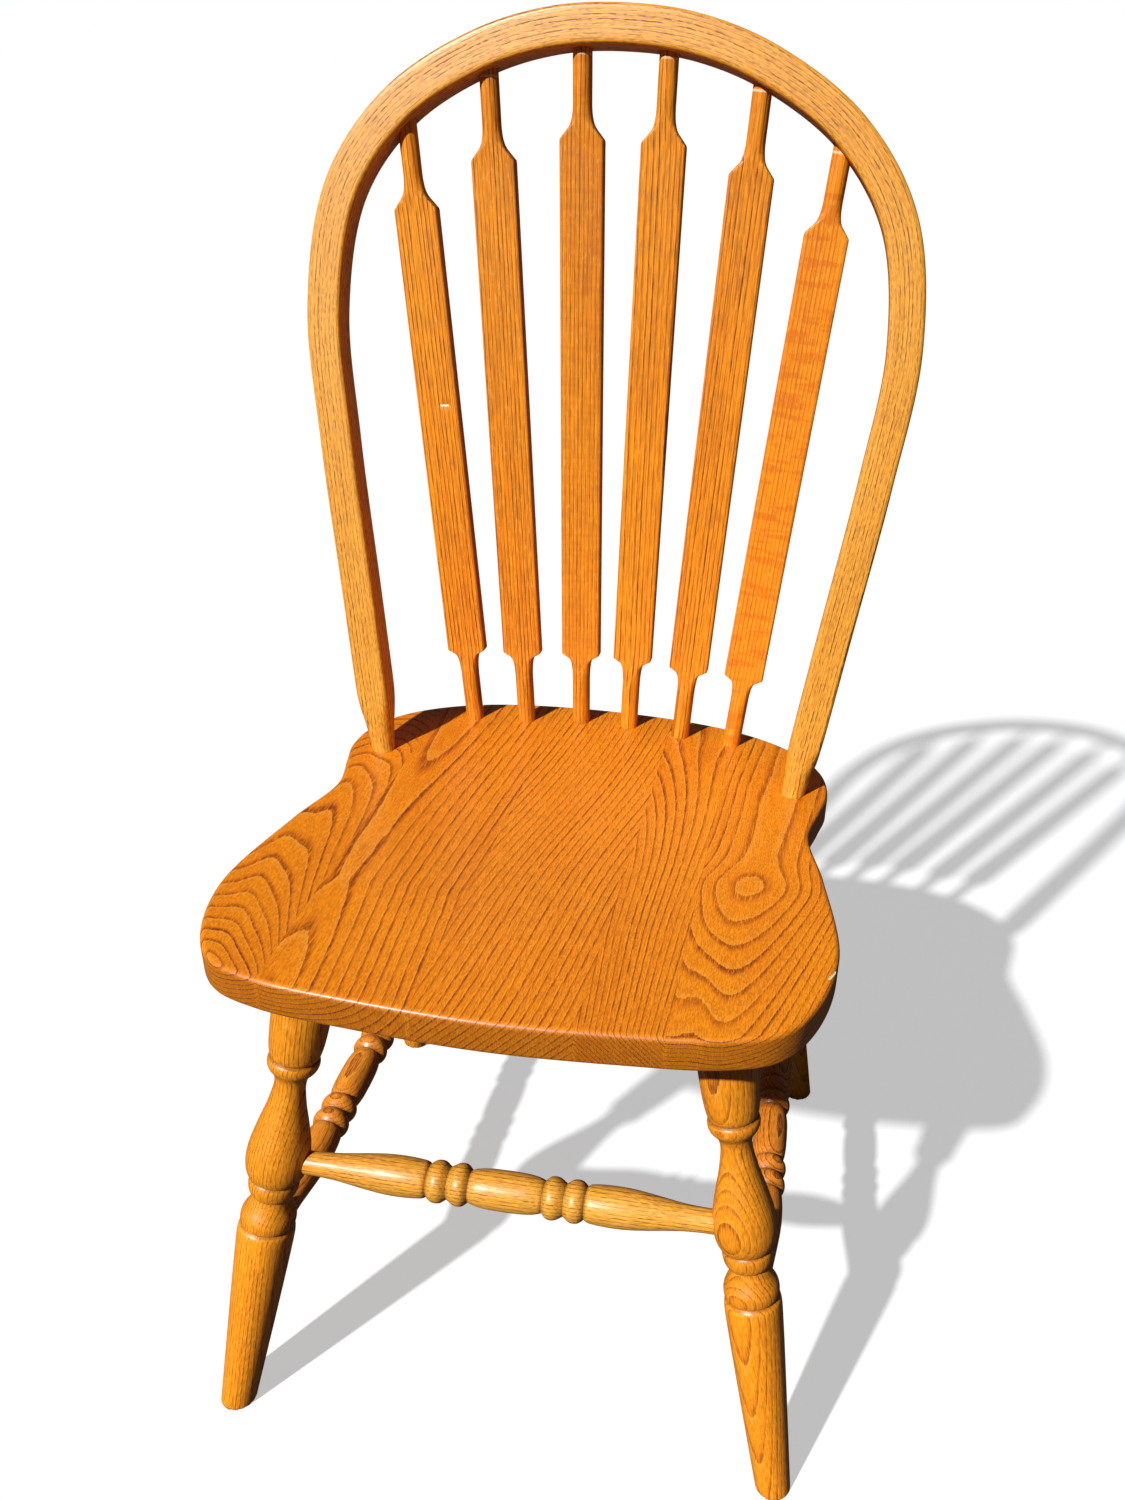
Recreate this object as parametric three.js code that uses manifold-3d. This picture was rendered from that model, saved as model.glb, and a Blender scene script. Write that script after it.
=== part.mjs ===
// Bow-back side chair of oak with six arrow-shaped spindles.
// Millimetres, +Z up. The chair faces -Y and mirrors about X = 0.
import * as THREE from "three";
import { mergeVertices } from "three/addons/utils/BufferGeometryUtils.js";
import Module from "manifold-3d";

const wasm = await Module();
wasm.setup();

// Clearance in every joint: round each tenon in its socket and between the boards of the seat.
const FIT = 0.3;

// Seat
const SEAT_HEIGHT = 439;
const SEAT_WIDTH = 436;
const SEAT_DEPTH = 434;
const SEAT_THICKNESS = 26;
const SEAT_ROUND = 4;
const DISH_DEPTH = 8;
const DISH_WIDTH = 370;
const DISH_LENGTH = 350;
const DISH_MIDDLE = 0.55;
const BOARD_JOINTS = [-148, -46, 59, 115];
// Half of the outline: share of the half width, share of the depth from the front.
const SEAT_OUTLINE = [
  [0, 0], [0.4, 0.01], [0.69, 0.027], [0.85, 0.058], [0.943, 0.125], [1, 0.257], [0.935, 0.462],
  [0.872, 0.595], [0.905, 0.685], [0.927, 0.745], [0.9, 0.825], [0.79, 0.9], [0.52, 0.97], [0, 1],
];

// Bow
const BOW_WIDTH = 466;
const BOW_HEIGHT = 564;
const BOW_FACE = 26;
const BOW_THICKNESS = 24;
const BOW_ROUND = 3;
const BOW_RECLINE = 12.7;
const BOW_PLACE = 0.71;
const BOW_TENON = 19;
const BOW_SOCKET = 18;
const BOW_WHITTLED = 60;
// Half of the middle line from the foot to the top: share of its half width, share of its height.
const BOW_CURVE = [
  [0.788, 0], [0.876, 0.24], [0.957, 0.461], [1, 0.638], [0.935, 0.79],
  [0.752, 0.892], [0.479, 0.961], [0.236, 0.992], [0, 1],
];

// Spindles: place on the seat as shares of half width and depth, place on the bow as a share of its half width.
const SPINDLES = [
  { across: 0.099, back: 0.9415, top: 0.1434 },
  { across: 0.3175, back: 0.921, top: 0.4555 },
  { across: 0.528, back: 0.9097, top: 0.733 },
];
const BLADE_WIDTH = 33;
const BLADE_THICKNESS = 11;
const BLADE_ROUND = 2;
const LOWER_NECK = 15;
const UPPER_NECK = 14;
const LOWER_SHOULDER = 64;
const UPPER_SHOULDER = 71;
const COVE_HEIGHT = 20;
const LOWER_SLANT = { width: 6, height: 4 };
const UPPER_SLANT = { width: 6.3, height: 7.5 };
const SPINDLE_SOCKET = 17;

// Legs: place under the seat as shares of half width and depth, with their slant in degrees.
const FRONT_LEG = { across: 0.651, back: 0.194, splay: 10.3, rake: -10 };
const REAR_LEG = { across: 0.614, back: 0.804, splay: 10.7, rake: 12.9 };
const LEG_DIAMETER = 46.5;
const LEG_TENON = 22;
const LEG_SOCKET = 15;
// Turning from the floor up: share of the length, share of the largest radius.
const LEG_TURNING = [
  [-0.04, 0.55], [0, 0.585], [0.361, 0.895], [0.413, 0.915], [0.422, 0.885], [0.4275, 0.79],
  [0.432, 0.865], [0.438, 0.885], [0.447, 0.88], [0.454, 0.85], [0.46, 0.8], [0.468, 0.725],
  [0.476, 0.665], [0.484, 0.62], [0.492, 0.585], [0.496, 0.695], [0.502, 0.755], [0.51, 0.79],
  [0.518, 0.8], [0.525, 0.785], [0.529, 0.735], [0.534, 0.835], [0.547, 0.94], [0.569, 0.995],
  [0.599, 0.955], [0.64, 0.8], [0.685, 0.6], [0.724, 0.49], [0.738, 0.505], [0.748, 0.56],
  [0.755, 0.65], [0.761, 0.735], [0.768, 0.79], [0.775, 0.805], [0.78, 0.785], [0.784, 0.71],
  [0.789, 0.77], [0.803, 0.825], [0.825, 0.865], [0.86, 0.9], [0.9, 0.915], [1.05, 0.925],
];

// Stretchers: share of the leg length where they meet the legs.
const FRONT_STRETCHER_AT = 0.566;
const SIDE_STRETCHER_FRONT_AT = 0.361;
const SIDE_STRETCHER_REAR_AT = 0.376;
const REAR_STRETCHER_AT = 0.5;
const STRETCHER_DIAMETER = 30.8;
const STRETCHER_STOP = 5;
// Half of the turning from the middle out: share of the half length, share of the largest radius.
const BEAD_TURNING = [
  [0, 0.95], [0.08, 0.925], [0.125, 0.86], [0.15, 0.775], [0.157, 0.73], [0.167, 0.85], [0.179, 0.96],
  [0.196, 1], [0.217, 0.96], [0.236, 0.84], [0.248, 0.75], [0.259, 0.84], [0.274, 0.96], [0.294, 1],
  [0.313, 0.96], [0.329, 0.84], [0.336, 0.75], [0.348, 0.85], [0.385, 0.915], [0.46, 0.95],
  [0.53, 0.92], [0.6, 0.835], [0.67, 0.73], [0.74, 0.63], [0.8, 0.585], [0.84, 0.57],
];
const PLAIN_TURNING = [[0, 0.86], [0.3, 0.83], [0.6, 0.73], [0.84, 0.575]];

const TURNED_SIDES = 16;
const SLIM_SIDES = 12;

const seatUnderside = SEAT_HEIGHT - SEAT_THICKNESS;
const front = new THREE.Vector3(0, -1, 0);
const up = new THREE.Vector3(0, 0, 1);
const chair = new THREE.Group();
chair.name = "chair";

// Closed body from a geometry, with its faces turned outward.
function solid(geometry) {
  const plain = geometry.clone();
  plain.deleteAttribute("normal");
  plain.deleteAttribute("uv");
  const merged = mergeVertices(plain, 1e-4);
  const points = merged.attributes.position.array;
  const corners = [];
  let volume = 0;
  for (let i = 0; i < merged.index.count; i += 3) {
    const [a, b, c] = [0, 1, 2].map((k) => merged.index.array[i + k]);
    if (a === b || b === c || c === a) continue;
    corners.push([a, b, c]);
    const [p, q, r] = [a, b, c].map((k) => new THREE.Vector3().fromArray(points, 3 * k));
    volume += p.dot(q.cross(r));
  }
  const turned = volume < 0 ? corners.map(([a, b, c]) => [a, c, b]) : corners;
  const triVerts = Uint32Array.from(turned.flat());
  return new wasm.Manifold(new wasm.Mesh({ numProp: 3, vertProperties: Float32Array.from(points), triVerts }));
}

// Places a shape drawn along +Y, with its face toward +Z, on the line between two points.
function along(from, to, facing) {
  const length = new THREE.Vector3().subVectors(to, from).normalize();
  const side = new THREE.Vector3().crossVectors(length, facing).normalize();
  const face = new THREE.Vector3().crossVectors(side, length);
  return new THREE.Matrix4().makeBasis(side, length, face).setPosition(from);
}

// Turned body from [distance along the axis, radius] pairs, closed on its axis.
function turned(profile, sides, place) {
  const points = profile.map(([distance, radius]) => new THREE.Vector2(radius, distance));
  points.unshift(new THREE.Vector2(0, profile[0][0]));
  points.push(new THREE.Vector2(0, profile[profile.length - 1][0]));
  return solid(new THREE.LatheGeometry(points, sides).applyMatrix4(place));
}

function peg(start, end, radius, sides, place) {
  return turned([[start, radius], [end, radius]], sides, place);
}

function box(low, high) {
  const size = new THREE.Vector3().subVectors(high, low);
  const middle = new THREE.Vector3().addVectors(low, high).multiplyScalar(0.5);
  return solid(new THREE.BoxGeometry(size.x, size.y, size.z).translate(middle.x, middle.y, middle.z));
}

function mirrored(body) {
  return body.mirror([1, 0, 0]);
}

function addPiece(name, body, colour) {
  const mesh = body.getMesh();
  const geometry = new THREE.BufferGeometry();
  geometry.setAttribute("position", new THREE.BufferAttribute(Float32Array.from(mesh.vertProperties), 3));
  geometry.setIndex(new THREE.BufferAttribute(Uint32Array.from(mesh.triVerts), 1));
  geometry.computeVertexNormals();
  const piece = new THREE.Mesh(geometry, new THREE.MeshStandardMaterial({ color: colour, roughness: 0.4 }));
  piece.name = name;
  chair.add(piece);
}

function seatPoint(place, height) {
  return new THREE.Vector3(place.across * SEAT_WIDTH / 2, (place.back - 0.5) * SEAT_DEPTH, height);
}

// Bow, drawn flat with the seat top at Y = 0 and its front face at Z = 0, then reclined onto the seat.
const bowHalf = (BOW_WIDTH - BOW_FACE) / 2;
const bowRise = BOW_HEIGHT - BOW_FACE / 2;
const bowRight = BOW_CURVE.map(([across, rise]) => new THREE.Vector3(across * bowHalf, rise * bowRise, 0));
const footDirection = new THREE.Vector3().subVectors(bowRight[1], bowRight[0]).normalize();
const bowFoot = new THREE.Vector3(bowRight[0].x, 0, -BOW_THICKNESS / 2);
const bowEnd = bowRight[0].clone().addScaledVector(footDirection, -2 * BOW_SOCKET);
const bowHalfLine = [bowEnd, ...bowRight];
const bowLine = [
  ...bowHalfLine.map((point) => new THREE.Vector3(-point.x, point.y, 0)),
  ...bowHalfLine.slice(0, -1).reverse(),
];
const bowCurve = new THREE.CatmullRomCurve3(bowLine, false, "centripetal");
const bowTurn = new THREE.Matrix4().makeRotationX(THREE.MathUtils.degToRad(90 - BOW_RECLINE));
bowTurn.setPosition(0, (BOW_PLACE - 0.5) * SEAT_DEPTH, SEAT_HEIGHT);

function bowBand() {
  const steps = 48;
  const outer = [];
  const inner = [];
  for (let i = 0; i <= steps; i += 1) {
    const middle = bowCurve.getPointAt(i / steps);
    const tangent = bowCurve.getTangentAt(i / steps);
    const across = new THREE.Vector2(-tangent.y, tangent.x).multiplyScalar(BOW_FACE / 2);
    outer.push(new THREE.Vector2(middle.x + across.x, middle.y + across.y));
    inner.unshift(new THREE.Vector2(middle.x - across.x, middle.y - across.y));
  }
  const geometry = new THREE.ExtrudeGeometry(new THREE.Shape([...outer, ...inner]), {
    depth: BOW_THICKNESS - 2 * BOW_ROUND,
    bevelThickness: BOW_ROUND,
    bevelSize: BOW_ROUND,
    bevelOffset: -BOW_ROUND,
    bevelSegments: 2,
  });
  return solid(geometry.translate(0, 0, BOW_ROUND - BOW_THICKNESS));
}

// The foot is whittled from the square bar down to a round tenon.
function bowFootWaste() {
  const place = along(bowFoot, bowFoot.clone().add(footDirection), up);
  const round = turned([
    [-BOW_SOCKET, BOW_TENON / 2],
    [5, BOW_TENON / 2],
    [BOW_WHITTLED * 0.4, BOW_TENON / 2 + 2],
    [BOW_WHITTLED + 6, BOW_FACE * 0.8],
  ], TURNED_SIDES, place);
  const reach = 2 * BOW_FACE;
  const block = box(
    new THREE.Vector3(bowFoot.x - reach, -4 * BOW_SOCKET, -BOW_THICKNESS - reach),
    new THREE.Vector3(bowFoot.x + reach, BOW_WHITTLED, reach),
  );
  return block.subtract(round);
}

// Middle line of the bow at a given distance across, on its upper part.
function bowPoint(across) {
  let low = 0.5;
  let high = 0.75;
  for (let i = 0; i < 30; i += 1) {
    const share = (low + high) / 2;
    if (bowCurve.getPointAt(share).x < across) low = share;
    else high = share;
  }
  return bowCurve.getPointAt(low).setZ(-BOW_THICKNESS / 2).applyMatrix4(bowTurn);
}

// Outline of a spindle blade: coves run out from the necks to slanted shoulders.
function bladeOutline(length) {
  const half = BLADE_WIDTH / 2;
  const low = LOWER_SHOULDER;
  const high = length - UPPER_SHOULDER;
  const lowNeck = LOWER_NECK / 2 - 0.5;
  const highNeck = UPPER_NECK / 2 - 0.5;
  const lowStep = half - LOWER_SLANT.width;
  const highStep = half - UPPER_SLANT.width;
  const lowCove = low - LOWER_SLANT.height;
  const highCove = high + UPPER_SLANT.height;
  const shape = new THREE.Shape();
  shape.moveTo(lowNeck, low - COVE_HEIGHT);
  shape.quadraticCurveTo(lowNeck, lowCove - 2, lowStep, lowCove);
  shape.lineTo(half, low);
  shape.lineTo(half, high);
  shape.lineTo(highStep, highCove);
  shape.quadraticCurveTo(highNeck, highCove + 4, highNeck, high + COVE_HEIGHT);
  shape.lineTo(-highNeck, high + COVE_HEIGHT);
  shape.quadraticCurveTo(-highNeck, highCove + 4, -highStep, highCove);
  shape.lineTo(-half, high);
  shape.lineTo(-half, low);
  shape.lineTo(-lowStep, lowCove);
  shape.quadraticCurveTo(-lowNeck, lowCove - 2, -lowNeck, low - COVE_HEIGHT);
  return shape;
}

// Spindle, its socket in the seat and its socket in the bow.
function spindle(place) {
  const foot = seatPoint(place, SEAT_HEIGHT);
  const head = bowPoint(place.top * bowHalf);
  const length = foot.distanceTo(head);
  const frame = along(foot, head, front);
  const blade = new THREE.ExtrudeGeometry(bladeOutline(length), {
    depth: BLADE_THICKNESS - 2 * BLADE_ROUND,
    bevelThickness: BLADE_ROUND,
    bevelSize: BLADE_ROUND,
    bevelOffset: -BLADE_ROUND,
    bevelSegments: 1,
    curveSegments: 5,
  }).translate(0, 0, BLADE_ROUND - BLADE_THICKNESS / 2);
  const lowerEnd = LOWER_SHOULDER - LOWER_SLANT.height;
  const upperEnd = length - UPPER_SHOULDER + UPPER_SLANT.height;
  const lowerNeck = turned([
    [-SPINDLE_SOCKET, LOWER_NECK / 2],
    [lowerEnd - COVE_HEIGHT, LOWER_NECK / 2],
    [lowerEnd + COVE_HEIGHT, BLADE_THICKNESS * 0.35],
  ], SLIM_SIDES, frame);
  const upperNeck = turned([
    [upperEnd - COVE_HEIGHT, BLADE_THICKNESS * 0.35],
    [upperEnd + COVE_HEIGHT, UPPER_NECK / 2],
    [length, UPPER_NECK / 2],
  ], SLIM_SIDES, frame);
  const body = solid(blade.applyMatrix4(frame)).add(lowerNeck).add(upperNeck);
  const reach = 2 * SPINDLE_SOCKET;
  const seatSocket = peg(-SPINDLE_SOCKET - FIT, reach, LOWER_NECK / 2 + FIT, SLIM_SIDES, frame);
  const bowSocket = peg(length - reach, length + FIT, UPPER_NECK / 2 + FIT, SLIM_SIDES, frame);
  return { body, seatSocket, bowSocket };
}

// Leg before its stretcher sockets are drilled, with its socket in the seat.
function leg(place) {
  const top = seatPoint(place, seatUnderside);
  const run = seatUnderside * Math.tan(THREE.MathUtils.degToRad(place.splay));
  const back = seatUnderside * Math.tan(THREE.MathUtils.degToRad(place.rake));
  const foot = new THREE.Vector3(top.x + run, top.y + back, 0);
  const length = foot.distanceTo(top);
  const frame = along(foot, top, front);
  const profile = LEG_TURNING.map(([share, radius]) => [share * length, radius * LEG_DIAMETER / 2]);
  const reach = 2 * SEAT_HEIGHT;
  const standing = box(new THREE.Vector3(-reach, -reach, 0), new THREE.Vector3(reach, reach, seatUnderside));
  const tenon = peg(length - LEG_SOCKET, length + LEG_SOCKET, LEG_TENON / 2, TURNED_SIDES, frame);
  const body = turned(profile, TURNED_SIDES, frame).intersect(standing).add(tenon);
  const socket = peg(length - LEG_SOCKET, length + LEG_SOCKET + FIT, LEG_TENON / 2 + FIT, TURNED_SIDES, frame);
  return { body, socket, at: (share) => new THREE.Vector3().lerpVectors(foot, top, share) };
}

// Stretcher between two legs, with the two sockets that it fills.
function stretcher(from, to, turning) {
  const half = from.distanceTo(to) / 2;
  const middle = new THREE.Vector3().addVectors(from, to).multiplyScalar(0.5);
  const frame = along(middle, to, up);
  const right = turning.map(([share, radius]) => [share * half, radius * STRETCHER_DIAMETER / 2]);
  const endRadius = right[right.length - 1][1];
  right.push([half - STRETCHER_STOP, endRadius]);
  const left = right.slice(1).reverse().map(([distance, radius]) => [-distance, radius]);
  const body = turned([...left, ...right], SLIM_SIDES, frame);
  const reach = half - LEG_DIAMETER;
  const sockets = [[-half + STRETCHER_STOP - FIT, -reach], [reach, half - STRETCHER_STOP + FIT]]
    .map(([start, end]) => peg(start, end, endRadius + FIT, SLIM_SIDES, frame));
  return { body, sockets };
}

const rightSpindles = SPINDLES.map(spindle);
const frontLeg = leg(FRONT_LEG);
const rearLeg = leg(REAR_LEG);
const otherSide = (point) => new THREE.Vector3(-point.x, point.y, point.z);
const frontAt = frontLeg.at(FRONT_STRETCHER_AT);
const rearAt = rearLeg.at(REAR_STRETCHER_AT);
const frontStretcher = stretcher(otherSide(frontAt), frontAt, BEAD_TURNING);
const rearStretcher = stretcher(otherSide(rearAt), rearAt, PLAIN_TURNING);
const sideStretcher = stretcher(
  frontLeg.at(SIDE_STRETCHER_FRONT_AT), rearLeg.at(SIDE_STRETCHER_REAR_AT), BEAD_TURNING,
);

// Seat: rounded slab with a shallow dish, drilled from both faces and split into its boards.
const outlineRight = SEAT_OUTLINE.map(([across, back]) => seatPoint({ across, back }, 0));
const outlineLeft = outlineRight.slice(1, -1).reverse().map(otherSide);
const outline = new THREE.CatmullRomCurve3([...outlineRight, ...outlineLeft], true, "centripetal");
const outlinePoints = outline.getPoints(3 * outline.points.length).slice(0, -1);
const slab = new THREE.ExtrudeGeometry(new THREE.Shape(outlinePoints.map((p) => new THREE.Vector2(p.x, p.y))), {
  depth: SEAT_THICKNESS - 2 * SEAT_ROUND,
  bevelThickness: SEAT_ROUND,
  bevelSize: SEAT_ROUND,
  bevelOffset: -SEAT_ROUND,
  bevelSegments: 2,
}).translate(0, 0, seatUnderside + SEAT_ROUND);

const dishSteps = 8;
const dishProfile = [];
for (let i = 0; i <= dishSteps; i += 1) {
  const share = i / dishSteps;
  const depth = DISH_DEPTH * (0.5 + 0.5 * Math.cos(Math.PI * share));
  dishProfile.push(new THREE.Vector2(share, FIT - depth));
}
dishProfile.push(new THREE.Vector2(1, SEAT_THICKNESS), new THREE.Vector2(0, SEAT_THICKNESS));
const dish = new THREE.LatheGeometry(dishProfile, 36)
  .rotateX(Math.PI / 2)
  .scale(DISH_WIDTH / 2, DISH_LENGTH / 2, 1)
  .translate(0, (DISH_MIDDLE - 0.5) * SEAT_DEPTH, SEAT_HEIGHT);

const bowTenonFrame = along(bowFoot, bowFoot.clone().add(footDirection), up).premultiply(bowTurn);
const bowSocket = peg(-BOW_SOCKET - FIT, BOW_SOCKET, BOW_TENON / 2 + FIT, TURNED_SIDES, bowTenonFrame);
let seat = solid(slab).subtract(solid(dish));
for (const socket of [bowSocket, frontLeg.socket, rearLeg.socket, ...rightSpindles.map((s) => s.seatSocket)]) {
  seat = seat.subtract(socket).subtract(mirrored(socket));
}
const boardEdges = [-SEAT_WIDTH, ...BOARD_JOINTS, SEAT_WIDTH];
for (let i = 0; i + 1 < boardEdges.length; i += 1) {
  const low = new THREE.Vector3(boardEdges[i] + FIT / 2, -SEAT_DEPTH, 0);
  const high = new THREE.Vector3(boardEdges[i + 1] - FIT / 2, SEAT_DEPTH, 2 * SEAT_HEIGHT);
  addPiece(`seat_board_${i + 1}`, seat.intersect(box(low, high)), 0xd98a2b);
}

const footWaste = bowFootWaste();
let bow = bowBand().subtract(footWaste).subtract(mirrored(footWaste)).transform(bowTurn.toArray());
for (const { bowSocket: socket } of rightSpindles) {
  bow = bow.subtract(socket).subtract(mirrored(socket));
}
addPiece("bow", bow, 0xe2a34a);

const spindleBodies = [
  ...rightSpindles.map((s) => mirrored(s.body)).reverse(),
  ...rightSpindles.map((s) => s.body),
];
spindleBodies.forEach((body, i) => addPiece(`spindle_${i + 1}`, body, 0xd9902f));

const [sideFrontSocket, sideRearSocket] = sideStretcher.sockets;
const frontLegDrilled = frontLeg.body.subtract(frontStretcher.sockets[1]).subtract(sideFrontSocket);
const rearLegDrilled = rearLeg.body.subtract(rearStretcher.sockets[1]).subtract(sideRearSocket);
addPiece("front_leg_left", mirrored(frontLegDrilled), 0xcf8630);
addPiece("front_leg_right", frontLegDrilled, 0xcf8630);
addPiece("rear_leg_left", mirrored(rearLegDrilled), 0xcf8630);
addPiece("rear_leg_right", rearLegDrilled, 0xcf8630);
addPiece("front_stretcher", frontStretcher.body, 0xdb9a45);
addPiece("rear_stretcher", rearStretcher.body, 0xdb9a45);
addPiece("left_stretcher", mirrored(sideStretcher.body), 0xdb9a45);
addPiece("right_stretcher", sideStretcher.body, 0xdb9a45);

// The origin is the middle of the footprint, on the floor.
const bounds = new THREE.Box3().setFromObject(chair);
for (const piece of chair.children) {
  piece.geometry.translate(0, -(bounds.min.y + bounds.max.y) / 2, -bounds.min.z);
}

export default chair;
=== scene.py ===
"""Looks of a bow-back side chair of lacquered golden oak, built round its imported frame."""

from contextlib import contextmanager
import math

import bmesh
import bpy
import numpy as np
from mathutils import Matrix, Vector


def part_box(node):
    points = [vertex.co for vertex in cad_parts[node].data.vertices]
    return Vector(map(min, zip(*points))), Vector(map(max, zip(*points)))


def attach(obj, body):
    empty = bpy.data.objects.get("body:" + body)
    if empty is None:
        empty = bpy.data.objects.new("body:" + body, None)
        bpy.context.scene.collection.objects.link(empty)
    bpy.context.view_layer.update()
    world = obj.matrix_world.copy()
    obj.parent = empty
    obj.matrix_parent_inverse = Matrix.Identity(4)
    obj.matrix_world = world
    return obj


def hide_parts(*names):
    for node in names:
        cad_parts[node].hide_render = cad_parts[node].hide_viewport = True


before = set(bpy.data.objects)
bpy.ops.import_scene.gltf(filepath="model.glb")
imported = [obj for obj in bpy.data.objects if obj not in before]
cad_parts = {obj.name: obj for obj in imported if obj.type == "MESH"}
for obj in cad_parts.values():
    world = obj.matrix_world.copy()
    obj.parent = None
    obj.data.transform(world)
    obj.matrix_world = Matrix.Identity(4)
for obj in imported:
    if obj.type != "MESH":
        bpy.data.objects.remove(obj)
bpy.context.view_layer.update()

MM = 0.001
FRONT = np.array([0.0, -1, 0])
UP = np.array([0.0, 0, 1])

# Sizes in millimetres, as the frame has them.
FIT = 0.3
SEAT_ROUND = 4
DISH_DEPTH = 8
DISH_WIDTH = 370
DISH_LENGTH = 350
DISH_MIDDLE = 0.55
BOARD_JOINTS = (-148, -46, 59, 115)
# Half of the seat outline: share of the half width, share of the depth from the front.
SEAT_OUTLINE = (
    (0, 0), (0.4, 0.01), (0.69, 0.027), (0.85, 0.058), (0.943, 0.125), (1, 0.257), (0.935, 0.462),
    (0.872, 0.595), (0.905, 0.685), (0.927, 0.745), (0.9, 0.825), (0.79, 0.9), (0.52, 0.97), (0, 1),
)
SEAT_FRONT_CORNER = (0.9, 0.085)
SEAT_BACK_CORNER = (0.86, 0.86)
SEAT_CELLS = 112
# Steps round the edge of the seat, an odd number so that one lies on its side, and the rim inside them.
EDGE_STEPS = 17
EDGE_RIM = 1
GLUE_LINE = 0.06

BOW_FACE = 26
BOW_THICKNESS = 24
BOW_ROUND = 3
BOW_RECLINE = 12.7
BOW_PLACE = 0.71
BOW_TENON = 19
BOW_SOCKET = 18
BOW_WHITTLED = 60
BOW_SECTIONS = 400
CORNER_STEPS = 7
# How sharply the square bar meets its whittled foot.
MEETING = 14.0
BOW_CURVE = (
    (0.788, 0), (0.876, 0.24), (0.957, 0.461), (1, 0.638), (0.935, 0.79),
    (0.752, 0.892), (0.479, 0.961), (0.236, 0.992), (0, 1),
)

# Spindles from the middle out: place on the seat, and on the bow.
SPINDLES = ((0.099, 0.9415, 0.1434), (0.3175, 0.921, 0.4555), (0.528, 0.9097, 0.733))
BLADE_WIDTH = 33
BLADE_THICKNESS = 11
BLADE_ROUND = 2
LOWER_NECK = 15
UPPER_NECK = 14
LOWER_SHOULDER = 64
UPPER_SHOULDER = 71
COVE_HEIGHT = 20
LOWER_SLANT = (6, 4)
UPPER_SLANT = (6.3, 7.5)
SPINDLE_SOCKET = 17
SPINDLE_STEP = 6
FACE_STEPS = 11
# Largest corner of a spindle's section, as a share of half its thickness.
FULLEST_CORNER = 0.96
# Shoulders: how far a cove runs on into the neck, how sharply it turns below and above, and how their
# points are eased.
COVE_RUN = 4
COVE_TURN = (2, 4)
POINT_EASE = (0.6, 0.4, 0.8)
# Thickness: where it changes below and above the blade, how far inside the blade that ends, and the swell.
FLATTEN_FROM = (8, 10)
FLATTEN_RUN = 4
FLATTEN_SWELL = 0.6

# Legs: place under the seat, splay and rake in degrees.
FRONT_LEG = (0.651, 0.194, 10.3, -10)
REAR_LEG = (0.614, 0.804, 10.7, 12.9)
LEG_DIAMETER = 46.5
LEG_TENON = 22
LEG_SOCKET = 15
FOOT_ROUND = 2.2
# Turning from the floor up, one list for each run between two cut grooves:
# share of the length, share of the largest radius.
LEG_TURNING = (
    ((-0.04, 0.55), (0, 0.585), (0.361, 0.895), (0.413, 0.915), (0.422, 0.885), (0.4275, 0.79)),
    ((0.4275, 0.79), (0.432, 0.865), (0.438, 0.885), (0.447, 0.88), (0.454, 0.85), (0.46, 0.8),
     (0.468, 0.725), (0.476, 0.665), (0.484, 0.62), (0.492, 0.585)),
    ((0.492, 0.585), (0.496, 0.695), (0.502, 0.755), (0.51, 0.79), (0.518, 0.8), (0.525, 0.785),
     (0.529, 0.735)),
    ((0.529, 0.735), (0.534, 0.835), (0.547, 0.94), (0.569, 0.995), (0.599, 0.955), (0.64, 0.8),
     (0.685, 0.6), (0.724, 0.49), (0.738, 0.505), (0.748, 0.56), (0.755, 0.65), (0.761, 0.735),
     (0.768, 0.79), (0.775, 0.805), (0.78, 0.785), (0.784, 0.71)),
    ((0.784, 0.71), (0.789, 0.77), (0.803, 0.825), (0.825, 0.865), (0.86, 0.9), (0.9, 0.915),
     (1.05, 0.925)),
)
TURNED_SIDES = 56
TURNED_STEP = 1.2

# Stretchers: share of the leg length where they meet the legs.
FRONT_STRETCHER_AT = 0.566
SIDE_STRETCHER_FRONT_AT = 0.361
SIDE_STRETCHER_REAR_AT = 0.376
REAR_STRETCHER_AT = 0.5
STRETCHER_DIAMETER = 30.8
STRETCHER_STOP = 5
# Half of a beaded turning from the middle out, one list for each run between two grooves.
BEAD_TURNING = (
    ((0, 0.95), (0.08, 0.925), (0.125, 0.86), (0.15, 0.775), (0.157, 0.73)),
    ((0.157, 0.73), (0.167, 0.85), (0.179, 0.96), (0.196, 1), (0.217, 0.96), (0.236, 0.84),
     (0.248, 0.75)),
    ((0.248, 0.75), (0.259, 0.84), (0.274, 0.96), (0.294, 1), (0.313, 0.96), (0.329, 0.84),
     (0.336, 0.75)),
    ((0.336, 0.75), (0.348, 0.85), (0.385, 0.915), (0.46, 0.95), (0.53, 0.92), (0.6, 0.835),
     (0.67, 0.73), (0.74, 0.63), (0.8, 0.585), (0.84, 0.57)),
)
PLAIN_TURNING = (((0, 0.86), (0.3, 0.83), (0.6, 0.73), (0.84, 0.575)),)

# Camera: place in metres, turn in degrees, focal length and image centre as shares of the image height.
CAMERA_PLACE = (0.1795, -0.7913, 0.9503)
CAMERA_YAW = 6.57
CAMERA_PITCH = 29.67
CAMERA_ROLL = 3.04
CAMERA_FOCAL = 0.8273
CAMERA_SHIFT = (-0.0765, 0.017)
SENSOR = 36

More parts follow.
